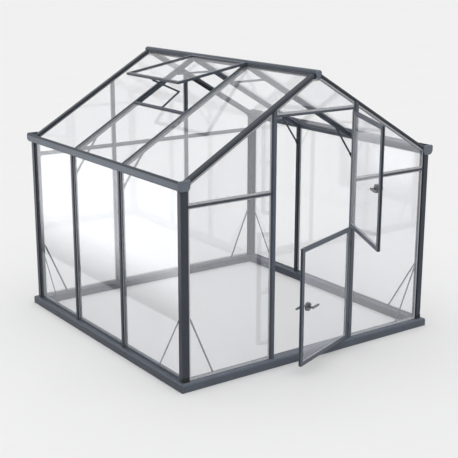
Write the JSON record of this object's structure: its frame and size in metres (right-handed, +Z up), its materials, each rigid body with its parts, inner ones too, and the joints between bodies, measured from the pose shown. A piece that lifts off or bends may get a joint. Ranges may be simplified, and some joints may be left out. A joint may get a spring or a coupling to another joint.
{
  "type": "glass greenhouse",
  "caption": "Free-standing glass greenhouse: gabled roof, metal glazing bars, eaves gutters, an open roof vent and a stable door with separate upper and lower leaves.",
  "frame": {"origin": "middle of the front base sill's underside, on the ground under the doorway and on the middle line", "axes": "+Z up, +Y into the house from the doorway to the back gable, +X to the right seen from the front; stored with the door leaves open as in the picture, so +Y is the longest extent"},
  "size_m": [2.292, 2.8885, 2.0763],
  "materials": {
    "frame_coating": "satin powder coat, anthracite",
    "glass": "clear float glass",
    "handle_metal": "satin grey metal",
    "cap_plastic": "moulded end caps in the frame's colour"
  },
  "bodies": {
    "frame": {"base_sill_front": "frame_coating", "base_sill_back": "frame_coating", "base_sill_left": "frame_coating", "base_sill_right": "frame_coating", "corner_post_front_left": "frame_coating", "corner_post_front_right": "frame_coating", "corner_post_back_left": "frame_coating", "corner_post_back_right": "frame_coating", "wall_bars": "frame_coating", "back_gable_posts": "frame_coating", "door_posts": "frame_coating", "door_header": "frame_coating", "gable_rails": "frame_coating", "left_gutter": "frame_coating", "right_gutter": "frame_coating", "ridge_bar": "frame_coating", "end_caps": "cap_plastic", "verge_rafters": "frame_coating", "roof_bars": "frame_coating", "vent_sill": "frame_coating", "vent_frame": "frame_coating", "vent_glass": "glass", "vent_stay": "frame_coating", "collar_ties": "frame_coating", "knee_braces": "frame_coating", "corner_braces": "frame_coating", "left_wall_glass": "glass", "right_wall_glass": "glass", "front_gable_glass": "glass", "back_gable_glass": "glass", "left_roof_glass": "glass", "right_roof_glass": "glass", "door_hinge_brackets": "frame_coating"},
    "lower_door": {"lower_door_stiles": "frame_coating", "lower_door_rails": "frame_coating", "lower_door_glass": "glass", "lower_door_hinges": "frame_coating", "lower_door_roses": "handle_metal"},
    "lower_handle": {"lower_door_handle": "handle_metal"},
    "upper_door": {"upper_door_stiles": "frame_coating", "upper_door_rails": "frame_coating", "upper_door_glass": "glass", "upper_door_hinges": "frame_coating", "upper_door_roses": "handle_metal"},
    "upper_handle": {"upper_door_handle": "handle_metal"}
  },
  "joints": [
    {"name": "lower_door_swing", "type": "hinge", "parent": "frame", "child": "lower_door", "pos_m": [0.349, -0.027, 0.4915], "axis": [0, 0, 1], "range_deg": [-20.5, 139.5]},
    {"name": "lower_handle_turn", "type": "hinge", "parent": "lower_door", "child": "lower_handle", "pos_m": [-0.21299, -0.22858, 0.4795], "axis": [-0.3502, 0.9367, 0], "range_deg": [0, 90]},
    {"name": "upper_door_swing", "type": "hinge", "parent": "frame", "child": "upper_door", "pos_m": [0.349, -0.027, 1.35361], "axis": [0, 0, 1], "range_deg": [-63.7, 96.3]},
    {"name": "upper_handle_turn", "type": "hinge", "parent": "upper_door", "child": "upper_handle", "pos_m": [0.07731, -0.55866, 1.34161], "axis": [-0.8965, 0.4431, 0], "range_deg": [0, 90]}
  ]
}
